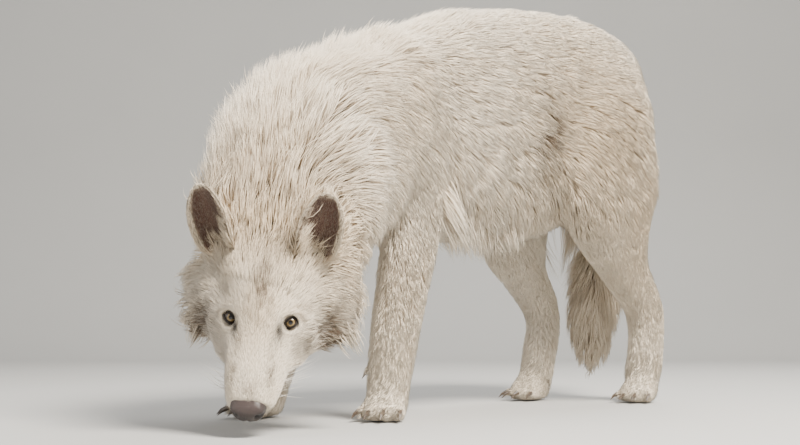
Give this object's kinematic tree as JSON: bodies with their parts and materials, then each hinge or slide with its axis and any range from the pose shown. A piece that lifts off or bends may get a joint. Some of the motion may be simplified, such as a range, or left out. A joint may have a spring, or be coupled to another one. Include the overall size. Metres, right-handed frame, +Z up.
{
  "type": "arctic wolf standing with lowered head",
  "caption": "White arctic wolf in its winter coat, standing with lowered forequarters and its nose just over the ground.",
  "frame": {"origin": "on the floor, under the middle of the bounding box", "axes": "+X to the wolf's left, -Y to its front, +Z up"},
  "size_m": [0.4686, 1.2426, 0.7919],
  "materials": {
    "coat": "long dense fur, white to ivory, cream on crown and nape",
    "iris": "wet amber eye with a dark pupil and rim",
    "nose_leather": "pebbled, slightly moist brown-black nose",
    "claw": "dark horn, semi-gloss",
    "eyelid": "thin black skin of the lids and lips",
    "whisker": "stiff pale hairs"
  },
  "bodies": {
    "root": {"head": "coat", "lower_jaw": "coat", "nose": "nose_leather", "neck": "coat", "trunk": "coat", "tail": "coat", "ear_left": "coat", "eye_left": "iris", "upper_arm_left": "coat", "forearm_left": "coat", "forepaw_left": "coat", "thigh_left": "coat", "shank_left": "coat", "hindpaw_left": "coat", "foreclaw_left_dew": "claw", "foreclaw_left_1": "claw", "foreclaw_left_2": "claw", "foreclaw_left_3": "claw", "foreclaw_left_4": "claw", "hindclaw_left_1": "claw", "hindclaw_left_2": "claw", "hindclaw_left_3": "claw", "hindclaw_left_4": "claw", "ear_right": "coat", "eye_right": "iris", "upper_arm_right": "coat", "forearm_right": "coat", "forepaw_right": "coat", "thigh_right": "coat", "shank_right": "coat", "hindpaw_right": "coat", "foreclaw_right_dew": "claw", "foreclaw_right_1": "claw", "foreclaw_right_2": "claw", "foreclaw_right_3": "claw", "foreclaw_right_4": "claw", "hindclaw_right_1": "claw", "hindclaw_right_2": "claw", "hindclaw_right_3": "claw", "hindclaw_right_4": "claw"}
  },
  "joints": []
}
